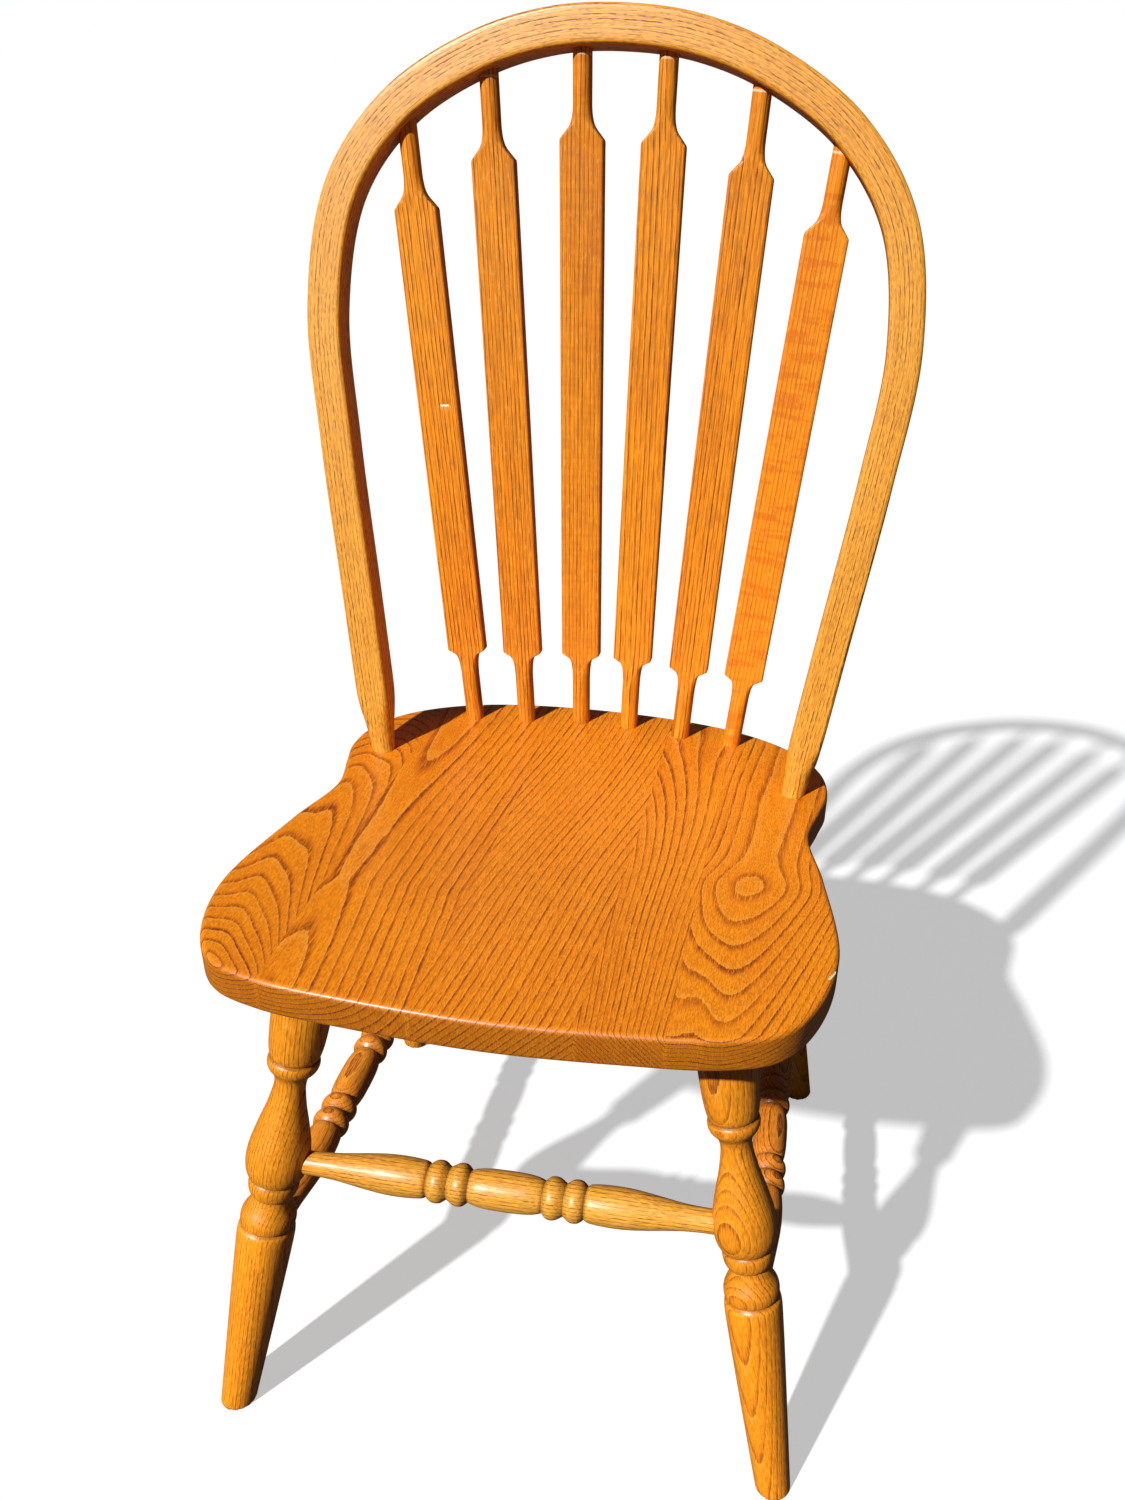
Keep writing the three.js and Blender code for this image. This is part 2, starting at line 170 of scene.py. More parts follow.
# The seat in the frame gives every other place.
boards = [f"seat_board_{i + 1}" for i in range(len(BOARD_JOINTS) + 1)]
board_boxes = [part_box(name) for name in boards]
seat_low = np.min([low for low, high in board_boxes], axis=0) / MM
seat_high = np.max([high for low, high in board_boxes], axis=0) / MM
seat_width, seat_depth = (seat_high - seat_low)[:2]
seat_top, seat_under = seat_high[2], seat_low[2]


def seat_point(across, back, height):
    """Point at a share of the seat's half width and of its depth from the front."""
    return np.array([across * seat_width / 2, seat_low[1] + back * seat_depth, height])


def unit(vector):
    return vector / np.linalg.norm(vector)


def other_side(points):
    """The same points on the other side of the chair."""
    return np.asarray(points, float) * (-1, 1, 1)


def curve_through(points, closed=False, steps=24):
    """Fine points along a smooth curve through the given ones."""
    p = np.asarray(points, float)
    if closed:
        p = np.vstack([p[-1:], p, p[:2]])
    else:
        p = np.vstack([2 * p[0] - p[1], p, 2 * p[-1] - p[-2]])
    t = np.linspace(0, 1, steps, endpoint=False)[:, None]
    line = []
    for p0, p1, p2, p3 in zip(p, p[1:], p[2:], p[3:]):
        d0, d1, d2 = (math.sqrt(np.linalg.norm(b - a)) for a, b in ((p0, p1), (p1, p2), (p2, p3)))
        m1 = ((p1 - p0) / d0 - (p2 - p0) / (d0 + d1) + (p2 - p1) / d1) * d1
        m2 = ((p2 - p1) / d1 - (p3 - p1) / (d1 + d2) + (p3 - p2) / d2) * d1
        line.append(p1 + m1 * t + (3 * (p2 - p1) - 2 * m1 - m2) * t**2 + (2 * (p1 - p2) + m1 + m2) * t**3)
    if not closed:
        line.append(p[-2:-1])
    return np.vstack(line)


def lengths_along(line):
    return np.concatenate([[0], np.cumsum(np.linalg.norm(np.diff(line, axis=0), axis=1))])


def resample(line, count):
    """The line again, in equal steps."""
    along = lengths_along(line)
    at = np.linspace(0, along[-1], count)
    return np.stack([np.interp(at, along, axis) for axis in line.T], 1)


def axes_between(start, end, facing):
    """Unit vectors across, along and out of the face of a piece that lies between two points."""
    along = unit(end - start)
    across = unit(np.cross(along, facing))
    return across, along, np.cross(across, along)


def add(tree, kind, inputs=None, **settings):
    """Adds a node with its settings. An input is set to a value, or linked to a socket or to the
    first output in use of a node."""
    node = tree.nodes.new(kind)
    for key, value in settings.items():
        setattr(node, key, value)
    for key, value in (inputs or {}).items():
        if isinstance(value, bpy.types.Node):
            value = next(output for output in value.outputs if output.enabled)
        if isinstance(value, bpy.types.NodeSocket):
            tree.links.new(value, node.inputs[key])
        else:
            node.inputs[key].default_value = value
    return node


def colour(code):
    """Linear colour from an sRGB hex value."""
    parts = [int(code[i:i + 2], 16) / 255 for i in (1, 3, 5)]
    return (*[c / 12.92 if c <= 0.04045 else ((c + 0.055) / 1.055) ** 2.4 for c in parts], 1)


# Red oak, planed or turned, with a golden stain and a clear satin lacquer. Each yearly ring starts with
# a row of dark open pores, which show as dashes along the grain, and ends in a thin pale line; short rays
# show as flecks. Pores are about 0.3 mm wide and are drawn about three times as wide, so that they show.
# Layers of the grain: size in millimetres out from the pith, round it and along it, and the detail.
GRAIN = {
    "sway": ((40, 40, 170), 3),
    "jitter": ((1.5, 1.5, 12), 1),
    "fibre": ((0.6, 0.6, 50), 3),
    "drift": ((60, 60, 260), 2),
    "rays": ((8, 0.6, 5), 1),
    "bands": ((26, 26, 5), 1),
}
# How far the rings wander, in years: over long stretches, and from point to point.
SWAY = 0.45
JITTER = 0.12
# Least vigour of a year, which sets how dark its pores are.
LEAST_VIGOUR = 0.55
# When the pores start to thin out, as a share of the porous part of a year, and when its end turns pale.
PORES_THIN_FROM = 0.15
LATE_SPAN = (0.8, 0.95)
# Levels of the noise between which each layer goes from its least to its most.
DASH_LEVELS = (0.43, 0.53)
ROW_LEVELS = (0.32, 0.44)
STAIN_LEVELS = (0.3, 0.7)
BAND_LEVELS = (0.48, 0.62)
RAY_LEVELS = (0.6, 0.7)
# How dark the pores are that lie outside the rows.
STRAY_PORES = 0.3
# Stain: how much of it the early wood takes, and its range over a board and from fibre to fibre.
EARLY_STAIN = 0.7
DRIFT_STAIN = (0.05, 0.5)
FIBRE_STAIN = (-0.3, 0.4)
# Pale flecks of the rays, and the pale end of each year.
FLECK = "#f7b548"
RAY_FLECKS = 0.4
LATE_WOOD = 0.3
# Curly figure: how much stain its bands take, and the share of the pores that it hides.
CURL_STAIN = 0.5
CURL_HIDES = 0.7
# Pale bare wood, for worn spots and for the painted highlight at the neck tops.
RAW_WOOD = "#ffe2b8"
# Lacquer: roughness on plain wood and over pores, depth of the pores in mm, and the clear coat.
ROUGHNESS = (0.4, 0.6)
PORE_DEPTH = 0.1
PORE_RELIEF = 0.5
COAT_WEIGHT = 0.25
COAT_ROUGHNESS = 0.28
REFRACTION = 1.5
# Tone: end grain soaks up more stain, the turned grooves are darker at their bottoms, and the leg tapers are
# painted paler, as painted light for the stronger light they catch.
END_GRAIN_SHADE = 0.36
END_GRAIN_FROM = 0.375
GROOVE_DARKENING = 0.5
GROOVE_REACH = 1.1
TAPER_PAINTED_LIGHT = 1.22


def lacquered_oak(name, pale, deep, pore, ring, porous, dash, row, broken, strength):
    """Oak that reads the piece's own wood coordinates: out from the pith, round it and along the grain.
    Ring is the width of a year in mm and porous its share with open pores, dash the width and length
    of a pore in mm, row the length of pores that run together, broken how far a row falls into dashes
    and strength how dark the pores are."""
    material = bpy.data.materials.new(name)
    material.use_nodes = True
    tree = material.node_tree
    shader = tree.nodes["Principled BSDF"]
    wood, tone, curl, wear_and_glint = (add(tree, "ShaderNodeAttribute", attribute_name=key)
                              for key in ("wood", "tone", "curl", "wear_and_glint"))
    place = wood.outputs["Vector"]
    width, length = dash
    layers = dict(GRAIN, dashes=((width, width, length), 0), lines=((width, width, row), 0))
    grain = {}
    for key, (sizes, detail) in layers.items():
        scaled = add(tree, "ShaderNodeVectorMath", {0: place, 1: [1 / size for size in sizes]},
                     operation="MULTIPLY")
        grain[key] = add(tree, "ShaderNodeTexNoise", {"Vector": scaled, "Scale": 1, "Detail": detail})

    # Which year a point grew in, and when in that year.
    out = add(tree, "ShaderNodeSeparateXYZ", {0: place}).outputs["X"]
    years = add(tree, "ShaderNodeMath", {0: out, 1: 1 / ring}, operation="MULTIPLY")
    years = add(tree, "ShaderNodeMath", {0: grain["sway"], 1: SWAY, 2: years}, operation="MULTIPLY_ADD")
    years = add(tree, "ShaderNodeMath", {0: grain["jitter"], 1: JITTER, 2: years}, operation="MULTIPLY_ADD")
    phase = add(tree, "ShaderNodeMath", {0: years}, operation="FRACT")
    year = add(tree, "ShaderNodeMath", {0: years}, operation="FLOOR")
    vigour = add(tree, "ShaderNodeTexWhiteNoise", {"W": year}, noise_dimensions="1D")
    early = add(tree, "ShaderNodeMapRange", {
        "Value": phase, "From Min": PORES_THIN_FROM * porous, "From Max": porous, "To Min": 1, "To Max": 0},
        interpolation_type="SMOOTHSTEP")
    vigour = add(tree, "ShaderNodeMapRange", {"Value": vigour.outputs["Value"], "To Min": LEAST_VIGOUR})
    early = add(tree, "ShaderNodeMath", {0: early, 1: vigour}, operation="MULTIPLY")
    late = add(tree, "ShaderNodeMapRange", {
        "Value": phase, "From Min": LATE_SPAN[0], "From Max": LATE_SPAN[1]})

    # Pores: rows of dashes in the early wood, and a few stray ones elsewhere.
    dashes = add(tree, "ShaderNodeMapRange", {
        "Value": grain["dashes"], "From Min": DASH_LEVELS[0], "From Max": DASH_LEVELS[1]})
    lines = add(tree, "ShaderNodeMapRange", {
        "Value": grain["lines"], "From Min": ROW_LEVELS[0], "From Max": ROW_LEVELS[1]})
    rows = add(tree, "ShaderNodeMath", {0: dashes, 1: broken, 2: 1 - broken}, operation="MULTIPLY_ADD")
    rows = add(tree, "ShaderNodeMath", {0: rows, 1: lines}, operation="MULTIPLY")
    rows = add(tree, "ShaderNodeMath", {0: rows, 1: early}, operation="MULTIPLY")
    stray = add(tree, "ShaderNodeMath", {0: dashes, 1: lines}, operation="MULTIPLY")
    stray = add(tree, "ShaderNodeMath", {0: stray, 1: STRAY_PORES}, operation="MULTIPLY")
    pores = add(tree, "ShaderNodeMath", {0: rows, 1: stray}, operation="MAXIMUM")

    # Colour: from pale to deep stain, then flecks, pores, and worn spots and the painted highlight at the
    # neck tops.
    stain = add(tree, "ShaderNodeMapRange", {
        "Value": grain["drift"], "From Min": STAIN_LEVELS[0], "From Max": STAIN_LEVELS[1],
        "To Min": DRIFT_STAIN[0], "To Max": DRIFT_STAIN[1]})
    stain = add(tree, "ShaderNodeMath", {0: early, 1: EARLY_STAIN, 2: stain}, operation="MULTIPLY_ADD")
    fibre = add(tree, "ShaderNodeMapRange", {
        "Value": grain["fibre"], "From Min": STAIN_LEVELS[0], "From Max": STAIN_LEVELS[1],
        "To Min": FIBRE_STAIN[0], "To Max": FIBRE_STAIN[1]})
    stain = add(tree, "ShaderNodeMath", {0: stain, 1: fibre}, operation="ADD")
    bands = add(tree, "ShaderNodeMapRange", {
        "Value": grain["bands"], "From Min": BAND_LEVELS[0], "From Max": BAND_LEVELS[1]})
    bands = add(tree, "ShaderNodeMath", {0: bands, 1: curl.outputs["Fac"]}, operation="MULTIPLY")
    stain = add(tree, "ShaderNodeMath", {0: bands, 1: CURL_STAIN, 2: stain}, operation="MULTIPLY_ADD")
    wood_colour = add(tree, "ShaderNodeMix", {0: stain, 6: colour(pale), 7: colour(deep)}, data_type="RGBA")
    flecks = add(tree, "ShaderNodeMapRange", {
        "Value": grain["rays"], "From Min": RAY_LEVELS[0], "From Max": RAY_LEVELS[1], "To Max": RAY_FLECKS})
    late = add(tree, "ShaderNodeMath", {0: late, 1: LATE_WOOD}, operation="MULTIPLY")
    flecks = add(tree, "ShaderNodeMath", {0: flecks, 1: late}, operation="MAXIMUM")
    wood_colour = add(tree, "ShaderNodeMix", {0: flecks, 6: wood_colour, 7: colour(FLECK)}, data_type="RGBA")
    depth = add(tree, "ShaderNodeMath", {
        0: curl.outputs["Fac"], 1: -CURL_HIDES * strength, 2: strength}, operation="MULTIPLY_ADD")
    depth = add(tree, "ShaderNodeMath", {0: pores, 1: depth}, operation="MULTIPLY")
    wood_colour = add(tree, "ShaderNodeMix", {0: depth, 6: wood_colour, 7: colour(pore)}, data_type="RGBA")
    wood_colour = add(tree, "ShaderNodeHueSaturation", {"Value": tone.outputs["Fac"], "Color": wood_colour})
    wood_colour = add(tree, "ShaderNodeMix", {
        0: wear_and_glint.outputs["Fac"], 6: wood_colour, 7: colour(RAW_WOOD)}, data_type="RGBA")
    tree.links.new(wood_colour.outputs[2], shader.inputs["Base Color"])

    # The lacquer follows the grain a little, so that glints break up along it.
    rough = add(tree, "ShaderNodeMapRange", {
        "Value": pores, "To Min": ROUGHNESS[0], "To Max": ROUGHNESS[1]})
    tree.links.new(rough.outputs["Result"], shader.inputs["Roughness"])
    height = add(tree, "ShaderNodeMath", {0: pores, 1: -1, 2: fibre}, operation="MULTIPLY_ADD")
    relief = add(tree, "ShaderNodeBump", {
        "Strength": PORE_RELIEF, "Distance": PORE_DEPTH * MM, "Height": height})
    tree.links.new(relief.outputs["Normal"], shader.inputs["Normal"])
    shader.inputs["IOR"].default_value = REFRACTION
    shader.inputs["Coat Weight"].default_value = COAT_WEIGHT
    shader.inputs["Coat Roughness"].default_value = COAT_ROUGHNESS
    shader.inputs["Coat IOR"].default_value = REFRACTION
    return material


# Pale stain, deep stain and pores, then ring, porous, dash, row, broken and strength.
OAK = {
    "seat_oak": lacquered_oak(
        "seat_oak_lacquered", "#f7920e", "#d86a02", "#682802", 2.4, 0.4, (0.8, 3), 15, 0.4, 1.0),
    "bow_oak": lacquered_oak(
        "bow_oak_steam_bent", "#f2aa3a", "#d8861c", "#5a2c06", 2.4, 0.45, (0.9, 4.5), 15, 0.75, 1.0),
    "spindle_oak": lacquered_oak(
        "spindle_oak_lacquered", "#fa9c12", "#d87004", "#521f02", 3.0, 0.5, (0.9, 12), 40, 0.5, 1.0),
    "leg_oak": lacquered_oak(
        "leg_oak_turned", "#f69c1a", "#d67208", "#522402", 2.7, 0.42, (0.9, 6), 22, 0.6, 0.85),
    "stretcher_oak": lacquered_oak(
        "stretcher_oak_turned", "#f6b448", "#dc8c22", "#5e3006", 2.6, 0.42, (0.9, 6), 20, 0.7, 0.95),
    # The side stretchers take a deeper, more orange copy of the stretcher finish: partly a stain of their
    # own, partly painted shade and orange bounce light from the seat above them.
    "side_stretcher_oak": lacquered_oak(
        "side_stretcher_oak_turned", "#f5962a", "#d06a10", "#5a2806", 2.6, 0.42, (0.9, 6), 20, 0.7, 0.95),
}


# Points that are closer together than this many metres become one.
WELD = 1e-7


def in_scene(name, data):
    """A new object in the scene."""
    thing = bpy.data.objects.new(name, data)
    bpy.context.scene.collection.objects.link(thing)
    return thing


@contextmanager
def editing(piece):
    """The mesh of a piece, open for changes that are kept."""
    shaped = bmesh.new()
    shaped.from_mesh(piece.data)
    yield shaped
    shaped.to_mesh(piece.data)
    shaped.free()


def turn_outward(shaped):
    """Joins points that meet and turns the faces of a closed body outward."""
    bmesh.ops.remove_doubles(shaped, verts=shaped.verts, dist=WELD)
    bmesh.ops.recalc_face_normals(shaped, faces=shaped.faces)
    if shaped.calc_volume(signed=True) < 0:
        bmesh.ops.reverse_faces(shaped, faces=shaped.faces)


def mesh_piece(name, points, faces):
    """A new object from points in millimetres, with its faces turned outward."""
    mesh = bpy.data.meshes.new(name)
    mesh.from_pydata((np.asarray(points, float) * MM).tolist(), [], faces)
    piece = in_scene(name, mesh)
    with editing(piece) as shaped:
        turn_outward(shaped)
    return piece


def loft(rings):
    """Points and faces of a closed body through rings of equal point count."""
    rings = np.asarray(rings, float)
    count, around = rings.shape[:2]
    faces = []
    for i in range(count - 1):
        for j in range(around):
            k = (j + 1) % around
            faces.append((i * around + j, i * around + k, (i + 1) * around + k, (i + 1) * around + j))
    faces.append(tuple(range(around - 1, -1, -1)))
    faces.append(tuple(range((count - 1) * around, count * around)))
    return rings.reshape(-1, 3), faces


def baked(piece):
    """Turns the evaluated shape into the piece's plain mesh and takes the modifiers off."""
    graph = bpy.context.evaluated_depsgraph_get()
    mesh = bpy.data.meshes.new_from_object(piece.evaluated_get(graph), depsgraph=graph)
    piece.modifiers.clear()
    old, piece.data = piece.data, mesh
    bpy.data.meshes.remove(old)


def pegs_mesh(pegs, sides=40):
    """Points and faces of round pegs: start, end, radius."""
    points, faces = [], []
    angles = np.linspace(0, 2 * math.pi, sides, endpoint=False)
    for start, end, radius in pegs:
        facing = FRONT if abs(unit(end - start)[1]) < 0.9 else UP
        across, along, face = axes_between(start, end, facing)
        circle = radius * (np.cos(angles)[:, None] * across + np.sin(angles)[:, None] * face)
        ring_points, ring_faces = loft([start + circle, end + circle])
        faces += [tuple(i + len(points) for i in f) for f in ring_faces]
        points += ring_points.tolist()
    return points, faces


def combine(piece, pegs, operation):
    """Drills pegs out of a piece, or joins them on."""
    tool = mesh_piece(piece.name + "_tool", *pegs_mesh(pegs))
    change = piece.modifiers.new("change", "BOOLEAN")
    change.operation, change.solver, change.object = operation, "MANIFOLD", tool
    baked(piece)
    bpy.data.meshes.remove(tool.data)


def trim(piece, point, away):
    """Cuts off what lies beyond a plane and closes the cut."""
    with editing(piece) as shaped:
        geometry = [*shaped.verts, *shaped.edges, *shaped.faces]
        cut = bmesh.ops.bisect_plane(shaped, geom=geometry, dist=WELD, plane_co=Vector(point) * MM,
                                     plane_no=Vector(away), clear_outer=True)
        edges = [e for e in cut["geom_cut"] if isinstance(e, bmesh.types.BMEdge)]
        bmesh.ops.edgeloop_fill(shaped, edges=edges)
        turn_outward(shaped)


def face_centres(piece):
    """Middles of the faces of a piece in millimetres."""
    return np.array([face.center for face in piece.data.polygons]) / MM


# Reach of a peg to the faces that it has cut, as a share of its radius.
CUT_REACH = 1.001


def cut_by(piece, pegs):
    """1 for the faces of a piece that a peg has cut, 0 for the others."""
    centres = face_centres(piece)
    cut = np.zeros(len(centres))
    for start, end, radius in pegs:
        share = np.clip((centres - start) @ (end - start) / np.sum((end - start) ** 2), 0, 1)
        gap = np.linalg.norm(centres - start - share[:, None] * (end - start), axis=1)
        cut[gap < CUT_REACH * radius] = 1
    return cut


def places(piece):
    """Vertex places of a piece in millimetres."""
    points = np.empty(3 * len(piece.data.vertices))
    piece.data.vertices.foreach_get("co", points)
    return points.reshape(-1, 3) / MM


def store(piece, name, values, domain="POINT"):
    """Keeps a number or a vector for each point or face of a piece."""
    values = np.asarray(values, float)
    kind = "FLOAT" if values.ndim == 1 else "FLOAT_VECTOR"
    layer = piece.data.attributes.new(name, kind, domain)
    layer.data.foreach_set("value" if values.ndim == 1 else "vector", values.ravel())


# Edges that turn by more than this many degrees show as edges.
SHARP_FROM = 38


def settle(piece, slot, nodes, wood, grain, tone=1.0, curl=0.0, wear_and_glint=0.0, finish=None):
    """Gives a finished piece its wood coordinates, its finish and its place on the frame.
    End grain, which faces along the grain, has soaked up more stain."""
    count = len(piece.data.vertices)
    normals = np.empty(3 * count)
    piece.data.vertices.foreach_get("normal", normals)
    end_grain = np.abs(np.sum(normals.reshape(-1, 3) * grain, 1))
    store(piece, "wood", wood)
    end_share = np.clip((end_grain - END_GRAIN_FROM) / (1 - END_GRAIN_FROM), 0, 1)
    store(piece, "tone", tone * (1 - END_GRAIN_SHADE * end_share))
    store(piece, "curl", np.broadcast_to(curl, count))
    store(piece, "wear_and_glint", np.broadcast_to(wear_and_glint, len(piece.data.polygons)), "FACE")
    piece.data.materials.clear()
    piece.data.materials.append(OAK[finish or slot])
    piece.data.shade_smooth()
    piece.data.set_sharp_from_angle(angle=math.radians(SHARP_FROM))
    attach(piece, "root")
    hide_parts(*nodes)


# Turned pieces: a line of points that carry the radius, swept round by one tree.
def turned_piece_tree():
    tree = bpy.data.node_groups.new("turned_piece", "GeometryNodeTree")
    tree.interface.new_socket("Axis", in_out="INPUT", socket_type="NodeSocketGeometry")
    sides = tree.interface.new_socket("Sides", in_out="INPUT", socket_type="NodeSocketInt")
    finish = tree.interface.new_socket("Finish", in_out="INPUT", socket_type="NodeSocketMaterial")
    tree.interface.new_socket("Turned", in_out="OUTPUT", socket_type="NodeSocketGeometry")
    given = tree.nodes.new("NodeGroupInput")
    axis = add(tree, "GeometryNodeMeshToCurve", {"Mesh": given.outputs["Axis"]})
    radius = add(tree, "GeometryNodeInputNamedAttribute", {"Name": "radius"}, data_type="FLOAT")
    circle = add(tree, "GeometryNodeCurvePrimitiveCircle",
                 {"Resolution": given.outputs["Sides"], "Radius": 1.0}, mode="RADIUS")
    swept = add(tree, "GeometryNodeCurveToMesh", {
        "Curve": axis.outputs["Curve"], "Profile Curve": circle.outputs["Curve"],
        "Scale": radius.outputs["Attribute"], "Fill Caps": True})
    real = add(tree, "GeometryNodeRealizeInstances", {"Geometry": swept.outputs["Mesh"]})
    done = add(tree, "GeometryNodeSetMaterial",
               {"Geometry": real.outputs["Geometry"], "Material": given.outputs["Finish"]})
    add(tree, "NodeGroupOutput", {"Turned": done.outputs["Geometry"]})
    return tree, sides.identifier, finish.identifier


TURNED_TREE, SIDES_INPUT, FINISH_INPUT = turned_piece_tree()


def turning_profile(runs, length, radius):
    """Fine pairs of distance and radius from runs of shares; the grooves between runs stay sharp."""
    lines = []
    for run in runs:
        line = curve_through(np.asarray(run, float) * (length, radius))
        count = max(4, int(lengths_along(line)[-1] / TURNED_STEP))
        lines.append(resample(line, count)[bool(lines):])
    return np.vstack(lines)


def turned_piece(name, start, direction, profile, finish):
    """A turned body along a line, from pairs of distance and radius."""
    mesh = bpy.data.meshes.new(name)
    points = start + profile[:, :1] * direction
    mesh.from_pydata((points * MM).tolist(), [(i, i + 1) for i in range(len(points) - 1)], [])
    piece = in_scene(name, mesh)
    store(piece, "radius", profile[:, 1] * MM)
    sweep = piece.modifiers.new("turned", "NODES")
    sweep.node_group = TURNED_TREE
    sweep[SIDES_INPUT] = TURNED_SIDES
    sweep[FINISH_INPUT] = finish
    baked(piece)
    with editing(piece) as shaped:
        turn_outward(shaped)
    return piece


def groove_darkening(distance, runs, length):
    """Share of the tone that is left near the grooves of a turned piece, which are darker at their bottoms.
    """
    grooves = [run[0][0] * length for run in runs[1:]]
    if not grooves:
        return 1
    gap = np.min([np.abs(distance - groove) for groove in grooves], axis=0)
    return 1 - GROOVE_DARKENING * np.exp(-(gap / GROOVE_REACH) ** 2)


def round_log(points, start, axes, pith, turn, climb, offset):
    """Wood coordinates of a straight piece: pith is its distance from the middle of the piece in mm,
    turn the way it lies as an angle from the piece's side to its face, climb the slope of the rings."""
    across, along, face = axes
    rel = points - start
    u, v, w = rel @ across, rel @ face, rel @ along
    a = math.radians(turn)
    out = u * math.cos(a) + v * math.sin(a) + pith
    side = -u * math.sin(a) + v * math.cos(a)
    return np.stack([np.hypot(out, side) + climb * w + offset, side + offset, w + 3 * offset], 1)


def leg_line(place, side):
    """Foot and top of the middle line of a leg."""
    across, back, splay, rake = place
    top = seat_point(across, back, seat_under)
    run = [seat_under * math.tan(math.radians(a)) for a in (splay, rake)]
    foot = np.array([top[0] + run[0], top[1] + run[1], 0])
    return (foot, top) if side > 0 else (other_side(foot), other_side(top))


leg_lines = {}
for row, place in (("front", FRONT_LEG), ("rear", REAR_LEG)):
    for name, side in (("left", -1), ("right", 1)):
        leg_lines[f"{row}_leg_{name}"] = leg_line(place, side)


def on_leg(name, share):
    """Point on the middle line of a leg."""
    foot, top = leg_lines[name]
    return foot + share * (top - foot)


stretcher_lines = {
    "front_stretcher": (on_leg("front_leg_left", FRONT_STRETCHER_AT),
                        on_leg("front_leg_right", FRONT_STRETCHER_AT), BEAD_TURNING),
    "rear_stretcher": (on_leg("rear_leg_left", REAR_STRETCHER_AT),
                       on_leg("rear_leg_right", REAR_STRETCHER_AT), PLAIN_TURNING),
}
for side in ("left", "right"):
    stretcher_lines[f"{side}_stretcher"] = (
        on_leg(f"front_leg_{side}", SIDE_STRETCHER_FRONT_AT),
        on_leg(f"rear_leg_{side}", SIDE_STRETCHER_REAR_AT), BEAD_TURNING)

# How each turned piece was cut from its log: pith distance, turn, climb, offset, tone.
LEG_CUT = {
    "front_leg_left": (70, 5, 0.004, 3, 1.0),
    "front_leg_right": (48, 115, 0.008, 41, 1.0),
    "rear_leg_left": (60, 120, 0.01, 77, 0.98),
    "rear_leg_right": (52, 35, 0.008, 113, 0.97),
}
STRETCHER_CUT = {
    "front_stretcher": (80, 140, 0.004, 19, 1.0),
    "rear_stretcher": (65, 30, 0.008, 57, 0.8),
    "left_stretcher": (40, 95, 0.012, 91, 0.97),
    "right_stretcher": (55, 60, 0.01, 131, 0.97),
}

stretcher_holes = []
for name, (start, end, runs) in stretcher_lines.items():
    middle, half = (start + end) / 2, np.linalg.norm(end - start) / 2
    direction = unit(end - start)
    outer = turning_profile(runs, half, STRETCHER_DIAMETER / 2)
    outer = np.vstack([outer, [half - STRETCHER_STOP, outer[-1, 1]]])
    profile = np.vstack([outer[:0:-1] * (-1, 1), outer])
    finish = "side_stretcher_oak" if name in ("left_stretcher", "right_stretcher") else "stretcher_oak"
    piece = turned_piece(f"{name}_turned", middle, direction, profile, OAK[finish])
    pith, turn, climb, offset, tone = STRETCHER_CUT[name]
    axes = axes_between(start, end, UP)
    settle(piece, "stretcher_oak", [name],
           round_log(places(piece), start, axes, pith, turn, climb, offset), direction,
           tone * groove_darkening(np.abs((places(piece) - middle) @ direction), runs, half), finish=finish)
    hole = outer[-1, 1] + FIT
    reach = half - LEG_DIAMETER
    stop = half - STRETCHER_STOP + FIT
    for way in (-1, 1):
        stretcher_holes.append((middle + way * reach * direction, middle + way * stop * direction, hole))

leg_sockets = []
for name, (foot, top) in leg_lines.items():
    length = np.linalg.norm(top - foot)
    direction = unit(top - foot)
    profile = turning_profile(LEG_TURNING, length, LEG_DIAMETER / 2)
    piece = turned_piece(f"{name}_turned", foot, direction, profile, OAK["leg_oak"])
    trim(piece, (0, 0, 0), (0, 0, -1))
    trim(piece, (0, 0, seat_under), (0, 0, 1))
    with editing(piece) as shaped:
        rim = [e for e in shaped.edges if all(abs(v.co.z) < 10 * WELD for v in e.verts)]
        bmesh.ops.bevel(shaped, geom=rim, offset=FOOT_ROUND * MM, segments=4, profile=0.5, affect="EDGES")
    tenon = LEG_SOCKET * direction
    combine(piece, [(top - tenon, top + tenon, LEG_TENON / 2)], "UNION")
    near = [hole for hole in stretcher_holes
            if np.linalg.norm(np.cross(hole[1] - foot, direction)) < LEG_DIAMETER / 2]
    combine(piece, near, "DIFFERENCE")
    pith, turn, climb, offset, tone = LEG_CUT[name]
    axes = axes_between(foot, top, FRONT)
    height = (places(piece) - foot) @ direction
    # Painted light: the tapers of the legs are painted paler for the stronger light that falls on them.
    taper_painted_light = np.where(height < LEG_TURNING[1][0][0] * length, TAPER_PAINTED_LIGHT, 1)
    settle(piece, "leg_oak", [name],
           round_log(places(piece), foot, axes, pith, turn, climb, offset), direction,
           tone * taper_painted_light * groove_darkening(height, LEG_TURNING, length))
    leg_sockets.append((top - tenon, top + tenon + FIT * direction, LEG_TENON / 2 + FIT))

